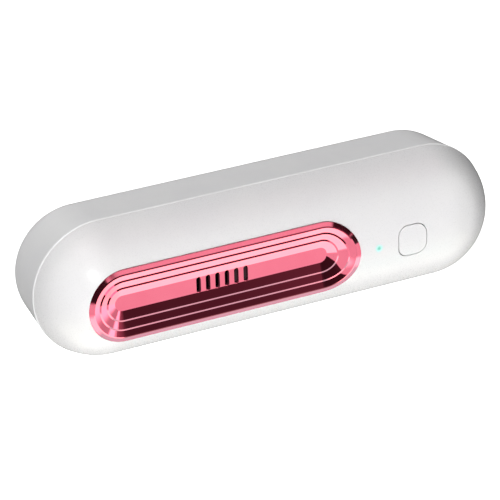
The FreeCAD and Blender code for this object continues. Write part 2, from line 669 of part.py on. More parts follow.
# Parts on the main board's rear face: x and z of the centre, width, height and thickness.
BOARD_CHIPS = (
    (19.0, 3.0, 7.0, 7.0, 1.0), (31.5, 5.5, 4.9, 3.9, 1.4), (31.0, -4.5, 5.2, 5.2, 2.6),
    (38.0, 4.0, 3.0, 2.6, 1.1), (38.0, -3.0, 3.2, 1.7, 1.2), (38.0, -6.0, 3.2, 1.7, 1.2),
    (25.5, 4.2, 2.0, 1.25, 0.7), (25.5, 1.6, 2.0, 1.25, 0.7), (25.5, -1.2, 1.6, 0.8, 0.5),
    (25.5, -3.2, 1.6, 0.8, 0.5), (13.5, 6.0, 1.6, 0.8, 0.5), (13.5, 4.0, 1.6, 0.8, 0.5),
    (13.5, 2.0, 2.0, 1.25, 0.7), (18.0, -3.8, 3.2, 1.5, 0.8),
)
PLUG_PLACES = ((12.5, 9.5), (12.5, -9.0), (34.0, 10.2))
PLUG_WIDE, PLUG_HIGH, PLUG_OUT, PLUG_WALL = 6.0, 4.2, 3.4, 0.6
# Parts on the charging board's front face, in the same order of sizes.
CHARGE_CHIPS = ((59.5, 0.0, 3.0, 3.0, 0.9), (62.2, 6.2, 1.6, 0.8, 0.5), (62.2, -6.2, 1.6, 0.8, 0.5))
TONGUE_START, TONGUE_LEN, TONGUE_THICK, TONGUE_HIGH = 67.0, 5.2, 0.7, 6.6


def screw_holes(stem, places, y, thick):
    """Clearance holes through a plate that runs from y for its thickness."""
    return [cylinder(f"{stem}_{number}", x, y - PAST, z, D.screw_hole, thick + 2 * PAST)
            for number, (x, z) in enumerate(places, start=1)]


def make_main_board():
    plate = rounded_block("board_plate", D.board_x, BOARD_FRONT_Y, 0, D.board_len, D.board_high,
                          D.board_corner, D.board_thick)
    return cut("main_board", plate, *screw_holes("board_hole", BOARD_SCREWS, BOARD_FRONT_Y, D.board_thick))


def make_board_chips():
    chips = [box(f"chip_{number}", x, BOARD_BACK_Y, z, wide, thick, high)
             for number, (x, z, wide, high, thick) in enumerate(BOARD_CHIPS, start=1)]
    return group("board_chips", *chips)


def make_board_sockets():
    sockets = []
    for number, (x, z) in enumerate(PLUG_PLACES, start=1):
        block = box(f"socket_block_{number}", x, BOARD_BACK_Y, z, PLUG_WIDE, PLUG_OUT, PLUG_HIGH)
        mouth = box(f"socket_mouth_{number}", x, BOARD_BACK_Y + 2 * PLUG_WALL, z, PLUG_WIDE - 2 * PLUG_WALL,
                    PLUG_OUT, PLUG_HIGH - 2 * PLUG_WALL)
        sockets.append(cut(f"socket_{number}", block, mouth))
    return group("board_sockets", *sockets)


def make_charge_board():
    plate = box("charge_plate", D.charge_x, CHARGE_FRONT_Y, 0, D.charge_len, D.charge_thick, D.charge_high)
    places = [(CHARGE_SCREW_X, z) for z in CHARGE_SCREW_Z]
    return cut("charge_board", plate, *screw_holes("charge_hole", places, CHARGE_FRONT_Y, D.charge_thick))


def make_charge_chips():
    chips = [box(f"charge_chip_{number}", x, CHARGE_FRONT_Y - thick, z, wide, thick, high)
             for number, (x, z, wide, high, thick) in enumerate(CHARGE_CHIPS, start=1)]
    return group("charge_chips", *chips)


def make_port_shell():
    outer = rounded_port("port_outer", D.port_start, 0.0, D.port_deep)
    bore = rounded_port("port_bore", D.port_start + D.port_bottom, -D.port_wall, D.port_deep)
    return cut("port_shell", outer, bore)


def make_port_tongue():
    return box("port_tongue", TONGUE_START, behind(D.port_y) - TONGUE_THICK / 2, 0, TONGUE_LEN,
               TONGUE_THICK, TONGUE_HIGH)


# ---- cell ----------------------------------------------------------------------------------

CELL_AXIS_Y = behind(D.cell_y)
CELL_START = D.cell_x - D.cell_len / 2
CONTACT_AHEAD = 3.5


def make_battery_cell():
    can_len = D.cell_len - D.terminal_high
    can = cylinder("cell_can", CELL_START, CELL_AXIS_Y, 0, D.cell_radius, can_len, "+x")
    terminal = cylinder("cell_terminal", CELL_START + can_len, CELL_AXIS_Y, 0, D.terminal_radius,
                        D.terminal_high, "+x")
    return fuse("battery_cell", can, terminal)


def make_cell_cradle():
    trough_len = D.cell_len + 2 * D.contact_thick
    block = box("cradle_block", D.cell_x, CELL_AXIS_Y, 0, trough_len + 2 * D.cradle_wall,
                CASE_BACK - D.rear_wall - CELL_AXIS_Y, 2 * (D.cell_radius + D.cradle_side))
    trough = cylinder("cradle_trough", D.cell_x - trough_len / 2, CELL_AXIS_Y, 0,
                      D.cell_radius + D.cradle_gap, trough_len, "+x")
    return cut("cell_cradle", block, trough)


def make_cell_contacts():
    plates = []
    for number, side in enumerate((-1, 1), start=1):
        x = D.cell_x + side * (D.cell_len + D.contact_thick) / 2
        plates.append(box(f"contact_{number}", x, CELL_AXIS_Y - CONTACT_AHEAD, 0, D.contact_thick,
                          D.contact_deep, D.contact_high))
    return group("cell_contacts", *plates)


# ---- UV chamber ----------------------------------------------------------------------------

FAN_Y = front(D.fan_front)
FAN_BACK_Y = FAN_Y + D.fan_deep
CHAMBER_FRONT_Y = TRAY_SEAT_Y + D.tray_flange_thick
CHAMBER_DEEP = FAN_Y - CHAMBER_FRONT_Y
FAN_SCREW_OFFSET = 10.0
FAN_SCREWS = [(D.tray_x + FAN_SCREW_OFFSET * side, FAN_SCREW_OFFSET * level)
              for side in (-1, 1) for level in (-1, 1)]
BOARD_END_GAP = 0.2
UV_BOARD_DEEP = CHAMBER_DEEP - D.chamber_plate - 2 * BOARD_END_GAP
LAMP_SIZE, LAMP_THICK, LAMP_DIE, LAMP_DIE_THICK = 3.4, 0.9, 1.6, 0.2
LAMP_Z = (-5.4, 0.0, 5.4)
WINDOW_GAP = 0.35    # from the lamps' bodies to the near face of a window


def make_uv_chamber():
    plate_y = FAN_Y - D.chamber_plate
    outer = box("chamber_outer", D.tray_x, CHAMBER_FRONT_Y, 0, D.chamber_len, CHAMBER_DEEP, D.chamber_high)
    inner = box("chamber_inner", D.tray_x, CHAMBER_FRONT_Y - PAST, 0, D.chamber_len - 2 * D.chamber_wall,
                CHAMBER_DEEP - D.chamber_plate + PAST, D.chamber_high - 2 * D.chamber_wall)
    plate = box("chamber_plate_block", D.tray_x, plate_y, 0, D.chamber_len, D.chamber_plate, D.fan_size)
    mouth = cylinder("chamber_mouth_hole", D.tray_x, plate_y - PAST, 0, D.chamber_mouth,
                     D.chamber_plate + 2 * PAST)
    lug_deep = FAN_Y - CHAMBER_SEAT_Y
    lugs = box("chamber_lugs", D.tray_x, CHAMBER_SEAT_Y, 0, D.chamber_lug_len, lug_deep, D.chamber_lug_high)
    holes = screw_holes("chamber_lug_hole", [(x, 0) for x in CHAMBER_SCREW_X], CHAMBER_SEAT_Y, lug_deep)
    holes += [cylinder(f"chamber_fan_pilot_{number}", x, plate_y - PAST, z, D.screw_pilot,
                       D.chamber_plate + 2 * PAST) for number, (x, z) in enumerate(FAN_SCREWS, start=1)]
    return cut("uv_chamber", fuse("chamber_body", outer, plate, lugs), inner, mouth, *holes)


def chamber_side(side, inset):
    """X of a plane inside the chamber, inset from the inner face of one end wall."""
    return D.tray_x + side * (D.chamber_len / 2 - D.chamber_wall - inset)


def make_uv_boards():
    boards = [box(f"uv_board_{number}", chamber_side(side, D.uv_board_thick / 2),
                  CHAMBER_FRONT_Y + BOARD_END_GAP, 0, D.uv_board_thick, UV_BOARD_DEEP, D.uv_board_high)
              for number, side in enumerate((-1, 1), start=1)]
    return group("uv_boards", *boards)


def make_uv_lamps():
    lamps = []
    middle_y = CHAMBER_FRONT_Y + BOARD_END_GAP + UV_BOARD_DEEP / 2
    for end, side in enumerate((-1, 1), start=1):
        base_x = chamber_side(side, D.uv_board_thick + LAMP_THICK / 2)
        die_x = chamber_side(side, D.uv_board_thick + LAMP_THICK + LAMP_DIE_THICK / 2)
        for number, z in enumerate(LAMP_Z, start=1):
            base = box(f"lamp_base_{end}_{number}", base_x, middle_y - LAMP_SIZE / 2, z,
                       LAMP_THICK, LAMP_SIZE, LAMP_SIZE)
            die = box(f"lamp_die_{end}_{number}", die_x, middle_y - LAMP_DIE / 2, z,
                      LAMP_DIE_THICK, LAMP_DIE, LAMP_DIE)
            lamps.append(fuse(f"lamp_{end}_{number}", base, die))
    return group("uv_lamps", *lamps)


def make_quartz_windows():
    inset = D.uv_board_thick + LAMP_THICK + WINDOW_GAP + D.window_thick / 2
    windows = [box(f"window_{number}", chamber_side(side, inset), CHAMBER_FRONT_Y + BOARD_END_GAP, 0,
                   D.window_thick, UV_BOARD_DEEP, D.window_high)
               for number, side in enumerate((-1, 1), start=1)]
    return group("quartz_windows", *windows)


# ---- fan -----------------------------------------------------------------------------------

HUB_FRONT, HUB_BACK, HUB_FACE = 0.5, 5.9, 0.8
MAGNET_FRONT, MAGNET_LEN, MAGNET_WALL = 1.7, 3.9, 0.6
MOUNT_START, MOUNT_RADIUS = 6.6, 6.2
STRUT_COUNT, STRUT_TURN, STRUT_LEN, STRUT_THICK, STRUT_WIDE = 3, 30, 7.2, 1.2, 1.8
BEARING_START, BEARING_RADIUS = 1.7, 2.2
BLADE_THICK, BLADE_CHORD, BLADE_MIDDLE, BLADE_ROOT = 0.8, 6.2, 3.3, 0.3
STATOR_FRONT, STATOR_LEN, STATOR_RADIUS, STATOR_CORE, STATOR_ARM = 2.0, 3.4, 3.9, 3.0, 2.4
SHAFT_LEN = 5.7


def turned_block(name, turn, corner, y, sizes):
    """A block whose corner is given in a frame turned about the fan's axis at height y."""
    item = doc.addObject("Part::Box", name)
    for path, size in zip(("Length", "Width", "Height"), sizes):
        bind(item, path, size)
    offset = turn.multVec(Vector(*corner))
    return place(item, D.tray_x + offset.x, y + offset.y, offset.z, turn)


def make_fan_frame():
    block = rounded_block("frame_block", D.tray_x, FAN_Y, 0, D.fan_size, D.fan_size, D.fan_corner, D.fan_deep)
    bore = cylinder("frame_bore", D.tray_x, FAN_Y - PAST, 0, D.fan_bore, D.fan_deep + 2 * PAST)
    rim = cut("frame_rim", block, bore, *screw_holes("frame_hole", FAN_SCREWS, FAN_Y, D.fan_deep))
    mount = cylinder("frame_mount", D.tray_x, FAN_Y + MOUNT_START, 0, MOUNT_RADIUS, D.fan_deep - MOUNT_START)
    struts = []
    for number in range(STRUT_COUNT):
        turn = Rotation(Vector(0, 1, 0), 360 / STRUT_COUNT * number + STRUT_TURN)
        struts.append(turned_block(f"frame_strut_{number + 1}", turn,
                                   (MOUNT_RADIUS - PAST, 0, -STRUT_WIDE / 2),
                                   FAN_BACK_Y - STRUT_THICK, (STRUT_LEN, STRUT_THICK, STRUT_WIDE)))
    return fuse("fan_frame", rim, mount, *struts)


def make_fan_bearing():
    return ring("fan_bearing", D.tray_x, FAN_Y + BEARING_START, 0, BEARING_RADIUS,
                D.shaft_radius + D.shaft_gap, MOUNT_START - BEARING_START)


def make_fan_stator():
    y = FAN_Y + STATOR_FRONT
    arm_a = box("stator_arm_a", D.tray_x, y, 0, 2 * STATOR_RADIUS, STATOR_LEN, STATOR_ARM)
    arm_b = box("stator_arm_b", D.tray_x, y, 0, STATOR_ARM, STATOR_LEN, 2 * STATOR_RADIUS)
    core = cylinder("stator_core", D.tray_x, y, 0, STATOR_CORE, STATOR_LEN)
    limit = cylinder("stator_limit", D.tray_x, y, 0, STATOR_RADIUS, STATOR_LEN)
    poles = common("stator_poles", fuse("stator_cross", arm_a, arm_b, core), limit)
    bore = cylinder("stator_bore", D.tray_x, y - PAST, 0, BEARING_RADIUS, STATOR_LEN + 2 * PAST)
    return cut("fan_stator", poles, bore)


def make_fan_rotor():
    hub_y = FAN_Y + HUB_FRONT
    hub = cylinder("hub_outer", D.tray_x, hub_y, 0, D.hub_radius, HUB_BACK - HUB_FRONT)
    hub_hollow = cylinder("hub_hollow", D.tray_x, hub_y + HUB_FACE, 0, D.hub_radius - D.hub_wall, HUB_BACK)
    root = D.hub_radius - BLADE_ROOT
    blade_len = D.blade_tip - root + PAST
    plates = []
    for number in range(int(D.blade_count.value)):
        around = Rotation(Vector(0, 1, 0), 360 / D.blade_count.value * number)
        turn = around.multiply(Rotation(Vector(1, 0, 0), D.blade_pitch.value))
        corner = (root.value, -BLADE_THICK / 2, -BLADE_CHORD / 2)
        plates.append(turned_block(f"blade_{number + 1}", turn, corner, FAN_Y + BLADE_MIDDLE,
                                   (blade_len, BLADE_THICK, BLADE_CHORD)))
    swept = cylinder("blade_limit", D.tray_x, FAN_Y, 0, D.blade_tip, D.fan_deep)
    blades = common("blade_set", fuse("blade_plates", *plates), swept)
    cup = cut("hub_cup", hub, hub_hollow)
    bore = cylinder("hub_bore", D.tray_x, FAN_Y, 0, D.shaft_radius, HUB_FRONT + HUB_FACE + PAST)
    return cut("fan_rotor", fuse("rotor_body", cup, blades), bore)


def make_rotor_magnet():
    outer = D.hub_radius - D.hub_wall
    return ring("rotor_magnet", D.tray_x, FAN_Y + MAGNET_FRONT, 0, outer, outer - MAGNET_WALL, MAGNET_LEN)


def make_rotor_shaft():
    return cylinder("rotor_shaft", D.tray_x, FAN_Y + HUB_FRONT, 0, D.shaft_radius, SHAFT_LEN)


FILTER_LEN, FILTER_DEEP, FILTER_THICK, FILTER_Z = 28.0, 13.0, 2.0, -15.7


def make_intake_filter():
    return box("intake_filter", D.tray_x, behind(D.intake_y) - FILTER_DEEP / 2, FILTER_Z,
               FILTER_LEN, FILTER_DEEP, FILTER_THICK)


# ---- leads ---------------------------------------------------------------------------------

LEAD_RADIUS = 0.6
BEND_SHARE = 0.42


def lead(name, route):
    """A round lead along straight runs joined by tangent arcs."""
    points = [Vector(*(as_size(value).value for value in point)) for point in route]
    edges = []
    start = points[0]
    for before, corner, after in zip(points, points[1:], points[2:]):
        into, out = (corner - before).normalize(), (after - corner).normalize()
        reach = BEND_SHARE * min(corner.distanceToPoint(before), corner.distanceToPoint(after))
        arc_start, arc_end = corner - into * reach, corner + out * reach
        half_turn = into.getAngle(out) / 2
        inward = (out - into).normalize()
        radius = reach / math.tan(half_turn)
        middle = corner + inward * (radius / math.cos(half_turn) - radius)
        edges.append(Part.makeLine(start, arc_start))
        edges.append(Part.Arc(arc_start, middle, arc_end).toShape())
        start = arc_end
    edges.append(Part.makeLine(start, points[-1]))
    path = Part.Wire(edges)
    profile = Part.Wire(Part.makeCircle(LEAD_RADIUS, points[0], points[1] - points[0]))
    item = doc.addObject("Part::Feature", name)
    item.Shape = path.makePipeShell([profile], True, False)
    return item


PLUG_Y = BOARD_BACK_Y + PLUG_OUT
FAN_SIDE_X = D.tray_x + D.fan_size / 2
# The last two corners of each route run straight into a socket, from this far out.
PLUG_RUN = 5.0


def into_socket(place, run=PLUG_RUN):
    x, z = place
    return (x, PLUG_Y + run, z), (x, PLUG_Y, z)


def make_leads():
    fan_plug, cell_plug, port_plug = PLUG_PLACES
    fan_route = ((FAN_SIDE_X, behind(2.0), 7.0), (FAN_SIDE_X + 5.0, behind(2.0), 7.0),
                 (4.0, behind(2.6), 9.0), *into_socket(fan_plug))
    cell_route = ((CELL_START - 2.6, behind(7.0), -2.0), (CELL_START - 3.4, behind(3.4), -5.0),
                  (4.0, behind(2.4), -9.4), *into_socket(cell_plug))
    port_route = ((54.4, behind(9.5), 2.0), (51.6, behind(3.4), 8.0), (43.0, behind(1.8), 12.0),
                  *into_socket(port_plug, PLUG_RUN - 0.4))
    return [lead("fan_lead", fan_route), lead("cell_lead", cell_route), lead("port_lead", port_route)]


# ---- the whole object ----------------------------------------------------------------------

SHANKS = {"case": 13.0, "board": 5.0, "charge": 4.5, "chamber": 6.2, "fan": 8.6}


def make_all():
    nodes = [
        make_front_cover(), make_rear_case(), make_seal_ring(), make_adhesive_pad(), make_vent_tray(),
        make_power_button(), make_tact_switch(), make_switch_plunger(), make_indicator_lens(),
        make_status_led(), make_main_board(), make_board_chips(), make_board_sockets(),
        make_charge_board(), make_charge_chips(), make_port_shell(), make_port_tongue(),
        make_battery_cell(), make_cell_cradle(), make_cell_contacts(), make_uv_chamber(),
        make_uv_boards(), make_uv_lamps(), make_quartz_windows(), make_fan_frame(),
        make_fan_bearing(), make_fan_stator(), make_fan_rotor(), make_rotor_magnet(),
        make_rotor_shaft(), make_intake_filter(),
        add_screws("case_screws", CASE_SCREWS, behind(D.case_seat), SHANKS["case"]),
        add_screws("board_screws", BOARD_SCREWS, BOARD_BACK_Y, SHANKS["board"]),
        add_screws("charge_screws", [(CHARGE_SCREW_X, z) for z in CHARGE_SCREW_Z], CHARGE_FRONT_Y,
                   SHANKS["charge"], "+y"),
        add_screws("chamber_screws", [(x, 0) for x in CHAMBER_SCREW_X], FAN_Y, SHANKS["chamber"]),
        add_screws("fan_screws", FAN_SCREWS, FAN_BACK_Y, SHANKS["fan"]),
    ]
    return nodes + make_leads()


def check_document():
    """Stops the build when any object of the document has failed."""
    for item in doc.Objects:
        if "Invalid" in item.State or "Error" in item.State:
            raise RuntimeError(f"{item.Name} has failed: {item.State}")


def export_nodes(nodes):
    os.makedirs("parts", exist_ok=True)
    for node in nodes:
        shape = node.Shape
        if shape.isNull() or not shape.isValid():
            raise RuntimeError(f"{node.Name} has no valid shape")
        limits = shape.BoundBox
        print(f"{node.Label:18s} solids {len(shape.Solids):2d} volume {shape.Volume:10.1f}  "
              f"x {limits.XMin:7.2f} {limits.XMax:7.2f}  y {limits.YMin:7.2f} {limits.YMax:7.2f}  "
              f"z {limits.ZMin:7.2f} {limits.ZMax:7.2f}")
        shape.exportStep(f"parts/{node.Label}.step")


all_nodes = make_all()
doc.recompute()
check_document()
export_nodes(all_nodes)
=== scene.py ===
import math

import bmesh
import bpy
from mathutils import Matrix, Vector


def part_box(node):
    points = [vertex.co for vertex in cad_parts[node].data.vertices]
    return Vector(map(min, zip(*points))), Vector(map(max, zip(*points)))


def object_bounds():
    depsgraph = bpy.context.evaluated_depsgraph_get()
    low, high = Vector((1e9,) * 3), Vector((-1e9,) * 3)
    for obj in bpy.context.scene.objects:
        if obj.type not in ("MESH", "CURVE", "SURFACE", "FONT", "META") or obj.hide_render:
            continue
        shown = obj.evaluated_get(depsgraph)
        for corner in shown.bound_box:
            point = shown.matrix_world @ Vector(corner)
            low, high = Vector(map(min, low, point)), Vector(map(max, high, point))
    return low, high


# A capsule-shaped UV steriliser: white shells, a mirror-plated rose vent tray, a push button and a
# lit indicator, shown on a plain white studio floor. Metres, in the CAD frame.

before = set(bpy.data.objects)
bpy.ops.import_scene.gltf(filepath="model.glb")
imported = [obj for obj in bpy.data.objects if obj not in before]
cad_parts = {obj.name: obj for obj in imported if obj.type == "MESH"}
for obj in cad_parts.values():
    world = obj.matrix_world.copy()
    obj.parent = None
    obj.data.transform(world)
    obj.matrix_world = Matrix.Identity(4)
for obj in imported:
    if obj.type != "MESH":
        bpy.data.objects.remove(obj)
cad_low, cad_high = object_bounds()


# ---- colours and node helpers ----------------------------------------------------------------

def srgb(red, green, blue):
    """Display values from 0 to 255 as a linear colour."""
    linear = []
    for value in (red, green, blue):
        share = value / 255
        linear.append(share / 12.92 if share <= 0.04045 else ((share + 0.055) / 1.055) ** 2.4)
    return (*linear, 1.0)


BLACK = (0.0, 0.0, 0.0, 1.0)
FULL_WHITE = (1.0, 1.0, 1.0, 1.0)
EVEN = (1, 1, 1)
# Where a Mix node has its two inputs and its result for each type of data.
MIX_PLACES = {"FLOAT": (2, 3, 0), "RGBA": (6, 7, 2)}


class Nodes:
    """A node tree under construction."""

    def __init__(self, tree):
        self.tree = tree

    def node(self, kind, **settings):
        item = self.tree.nodes.new(kind)
        for key, value in settings.items():
            setattr(item, key, value)
        return item

    def feed(self, value, socket):
        """Link a node's output to a socket, or set the socket to a fixed value."""
        if isinstance(value, bpy.types.NodeSocket):
            self.tree.links.new(value, socket)
        else:
            socket.default_value = value

    def remap(self, value, low=0.0, high=1.0, start=0.3, stop=0.7):
        """Go smoothly from low, at start, to high, at stop, and stay level past either."""
        item = self.node("ShaderNodeMapRange", interpolation_type="SMOOTHSTEP")
        for key, number in (("From Min", start), ("From Max", stop), ("To Min", low), ("To Max", high)):
            item.inputs[key].default_value = number
        self.feed(value, item.inputs["Value"])
        return item.outputs["Result"]

    def blend(self, data_type, share, first, second):
        item = self.node("ShaderNodeMix", data_type=data_type)
        first_place, second_place, result_place = MIX_PLACES[data_type]
        self.feed(share, item.inputs[0])
        self.feed(first, item.inputs[first_place])
        self.feed(second, item.inputs[second_place])
        return item.outputs[result_place]

    def mix(self, share, first, second):
        """A blend of two colours."""
        return self.blend("RGBA", share, first, second)

    def mix_level(self, share, first, second):
        """A blend of two numbers."""
        return self.blend("FLOAT", share, first, second)


class Surface(Nodes):
    """A material under construction: its main shader and the place on the object."""

    def __init__(self, name):
        self.material = bpy.data.materials.new(name)
        self.material.use_nodes = True
        super().__init__(self.material.node_tree)
        self.shader = self.tree.nodes["Principled BSDF"]
        self.place = self.node("ShaderNodeTexCoord").outputs["Object"]

    def drive(self, value, socket):
        """Let a value that varies over the surface steer one of the shader's sockets."""
        self.feed(value, self.shader.inputs[socket])

    def set(self, **values):
        for key, value in values.items():
            self.shader.inputs[key.replace("_", " ")].default_value = value

    def noise(self, scale, detail=3.0, rough=0.5, stretch=EVEN):
        mapping = self.node("ShaderNodeMapping")
        mapping.inputs["Scale"].default_value = stretch
        self.feed(self.place, mapping.inputs["Vector"])
        item = self.node("ShaderNodeTexNoise")
        item.inputs["Scale"].default_value = scale
        item.inputs["Detail"].default_value = detail
        item.inputs["Roughness"].default_value = rough
        self.feed(mapping.outputs["Vector"], item.inputs["Vector"])
        return item.outputs["Fac"]

    def cells(self, scale):
        item = self.node("ShaderNodeTexVoronoi")
        item.inputs["Scale"].default_value = scale
        self.feed(self.place, item.inputs["Vector"])
        return item.outputs["Distance"]

    def stripes(self, scale, direction, distortion=0.0):
        item = self.node("ShaderNodeTexWave", bands_direction=direction)
        item.inputs["Scale"].default_value = scale
        item.inputs["Distortion"].default_value = distortion
        self.feed(self.place, item.inputs["Vector"])
        return item.outputs["Fac"]

    def distance_from(self, point):
        item = self.node("ShaderNodeVectorMath", operation="DISTANCE")
        self.feed(self.place, item.inputs[0])
        item.inputs[1].default_value = point
        return item.outputs["Value"]

    def colour(self, share, first, second):
        blend = self.mix(share, first, second)
        self.drive(blend, "Base Color")
        return blend

    def mottle(self, scale, first, second, detail=3.0):
        """Drift from one colour to another in soft patches."""
        return self.colour(self.remap(self.noise(scale, detail)), first, second)

    def rough(self, value, low, high):
        self.drive(self.remap(value, low, high), "Roughness")

    def bump(self, value, height, below=None):
        item = self.node("ShaderNodeBump")
        item.inputs["Strength"].default_value = 1.0
        item.inputs["Distance"].default_value = height
        self.feed(value, item.inputs["Height"])
        if below is not None:
            self.feed(below, item.inputs["Normal"])
        self.drive(item.outputs["Normal"], "Normal")
        return item.outputs["Normal"]


# ---- general materials -----------------------------------------------------------------------

PATCHY = 4.0                # noise detail of the colour drift
METAL_PATCH = 300.0
WAVE_SCALE = 140.0          # slight unevenness of a moulded wall
WAVE_HEIGHT = 1.5e-6
OUTLINE_SHADE_START, OUTLINE_SHADE_STOP = 0.8, 0.98    # share of grazing over which painted shade darkens a shell towards its outline


def moulded_surface(name, first, second, rough, grain=2500.0, height=2e-6, patch=90.0,
                    coat=0.0, coat_rough=0.1, edge=None):
    """Injection-moulded plastic: a faint mottle in the colour, a fine grain and a slight waviness.
    A given edge colour is painted shade, darkening the surface towards its outline.
    Gives the surface and its colour so far."""
    s = Surface(name)
    tone = s.mottle(patch, first, second, PATCHY)
    # Painted shade: the colour darkens to the edge colour where the surface turns away from view.
    if edge is not None:
        grazing = s.node("ShaderNodeLayerWeight").outputs["Facing"]
        tone = s.colour(s.remap(grazing, start=OUTLINE_SHADE_START, stop=OUTLINE_SHADE_STOP), tone, edge)
    fine = s.noise(grain, detail=2.0, rough=0.6)
    s.rough(fine, *rough)
    wavy = s.bump(s.noise(WAVE_SCALE, detail=2.0), WAVE_HEIGHT)
    s.bump(fine, height, below=wavy)
    s.set(Coat_Weight=coat, Coat_Roughness=coat_rough, Specular_IOR_Level=0.5)
    return s, tone


def moulded(*colours, **finish):
    return moulded_surface(*colours, **finish)[0].material


def metal_surface(name, first, second, rough, grain=3000.0, height=1e-6, stretch=EVEN):
    """Bare or plated metal with a directional or even grain."""
    s = Surface(name)
    s.mottle(METAL_PATCH, first, second, PATCHY)
    fine = s.noise(grain, rough=0.6, stretch=stretch)
    s.rough(fine, *rough)
    s.bump(fine, height)
    s.set(Metallic=1.0)
    return s


def metal(*colours, **finish):
    return metal_surface(*colours, **finish).material


# ---- materials of single pieces --------------------------------------------------------------

WHITE = srgb(240, 239, 239)
WHITE_DEEP = srgb(237, 236, 237)
# Painted shade: the grey that the white shells darken to towards their outline.
OUTLINE_SHADE = srgb(196, 196, 197)
SHELL_FINISH = dict(rough=(0.26, 0.33), grain=3200.0, height=4e-7, patch=60.0, coat=0.1, coat_rough=0.12)
PLATING = (0.955, 0.215, 0.305, 1.0)
PLATING_DEEP = (0.94, 0.20, 0.29, 1.0)
TRAY_FLOOR_Y = -0.0372      # the tray's floor, where the slots begin
SLOT_BEVEL = 0.00012        # how far in their rounded edges reach
# Painted shade: a near-black maroon for the unplated slot walls, standing in for the shade deep in the slots.
SLOT_WALL_SHADED = (0.11, 0.022, 0.036, 1.0)
SLOT_ROUGH = 0.3
HALO = srgb(196, 252, 246)
HALO_LIGHT = (0.0, 0.05, 0.045, 1.0)
HALO_START, HALO_STOP = 0.0005, 0.0015      # metres from the middle of the lens
GLOW_START, GLOW_STOP = 0.0001, 0.0007
CHAMBER_GLOW = (1.0, 0.55, 0.62, 1.0)
CHAMBER_GLOW_DEEP = (0.8, 0.5, 0.55, 1.0)
WEAVE_SCALE = 900.0
TRACK_SCALE, TRACK_WANDER = 160.0, 3.5


def plated_rose():
    """Vacuum-plated plastic: a near-mirror with a very slight ripple under it. The plating doesn't
    reach into the slots, where the dull plastic shows, given a very dark colour as painted shade."""
    s = Surface("plated_rose")
    plated = s.mix(s.remap(s.noise(120.0)), PLATING, PLATING_DEEP)
    split = s.node("ShaderNodeSeparateXYZ")
    s.feed(s.place, split.inputs[0])
    in_slot = s.remap(split.outputs[1], start=TRAY_FLOOR_Y + 0.5 * SLOT_BEVEL, stop=TRAY_FLOOR_Y + SLOT_BEVEL)
    # The slot walls take the dark colour: painted shade deep in the slots.
    s.colour(in_slot, plated, SLOT_WALL_SHADED)
    s.drive(s.remap(in_slot, low=1.0, high=0.0, start=0.0, stop=1.0), "Metallic")
    mirror_rough = s.remap(s.noise(900.0), low=0.035, high=0.06)
    s.drive(s.mix_level(in_slot, mirror_rough, SLOT_ROUGH), "Roughness")
    s.bump(s.noise(260.0, detail=2.0), height=6e-7)
    return s.material


def nearness_to_lens(surface, start, stop):
    """1 in the middle of the indicator's face, falling to 0 away from it."""
    lens_low, lens_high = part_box("indicator_lens")
    middle = (lens_low + lens_high) / 2
    away = surface.distance_from((middle.x, lens_low.y, middle.z))
    return surface.remap(away, low=1.0, high=0.0, start=start, stop=stop)


def front_shell():
    """The white cover, with the indicator's light spilling a little way round its opening."""
    # The cover's edge colour is painted shade towards its outline.
    s, tone = moulded_surface("shell_white", WHITE, WHITE_DEEP, edge=OUTLINE_SHADE, **SHELL_FINISH)
    spill = nearness_to_lens(s, HALO_START, HALO_STOP)
    s.colour(spill, tone, HALO)
    s.drive(s.mix(spill, BLACK, HALO_LIGHT), "Emission Color")
    s.set(Emission_Strength=1.0)
    return s.material


def indicator():
    """A clear lens lit from behind: its colour is deepest in its middle."""
    s = Surface("indicator_glow")
    near = nearness_to_lens(s, GLOW_START, GLOW_STOP)
    s.drive(s.colour(near, srgb(176, 236, 224), srgb(120, 206, 188)), "Emission Color")
    s.set(Emission_Strength=0.14, Roughness=0.2)
    return s.material


def silicone():
    """The soft bright seal between the shells."""
    s = Surface("seal_silicone")
    s.mottle(200.0, srgb(248, 248, 248), srgb(244, 244, 245))
    fine = s.noise(1800.0, detail=2.0)
    s.rough(fine, 0.32, 0.42)
    s.bump(fine, height=3e-6)
    s.set(Sheen_Weight=0.05, Sheen_Roughness=0.4)
    return s.material


def adhesive():
    """Foam adhesive pad: open cells under a tacky skin."""
    s = Surface("pad_foam")
    pores = s.cells(1700.0)
    s.colour(s.remap(pores, start=0.1, stop=0.6), srgb(206, 208, 210), srgb(224, 225, 226))
    s.rough(pores, 0.55, 0.75)
    s.bump(pores, height=4e-5)
    return s.material


def board(name, mask, line):
    """A printed circuit board: solder mask with tracks that run one way or the other."""
    s = Surface(name)
    tracks_x, tracks_z = (s.remap(s.stripes(TRACK_SCALE, direction, TRACK_WANDER), start=0.86, stop=0.93)
                          for direction in ("X", "Z"))
    where = s.remap(s.noise(110.0, detail=1.0), start=0.47, stop=0.5)
    tracks = s.mix_level(where, tracks_x, tracks_z)
    s.colour(tracks, mask, line)
    s.rough(s.noise(1500.0, detail=2.0), 0.3, 0.42)
    s.bump(tracks, height=1.8e-5)
    return s.material


def speckled(name, scale, first, second, rough, height):
    """A matt body whose colour, roughness and surface all follow one fine speckle."""
    s = Surface(name)
    speckle = s.noise(scale, detail=2.0)
    s.colour(s.remap(speckle), first, second)
    s.rough(speckle, *rough)
    s.bump(speckle, height)
    return s.material


def chip():
    """Black moulded packages with a laser-dulled top."""
    return speckled("chip_epoxy", 4200.0, srgb(26, 26, 28), srgb(46, 46, 49), rough=(0.5, 0.68), height=8e-6)


def lamp():
    """The pale ceramic of a lamp chip."""
    return speckled("lamp_ceramic", 2600.0, srgb(226, 220, 196), srgb(240, 234, 214),
                    rough=(0.4, 0.55), height=3e-6)


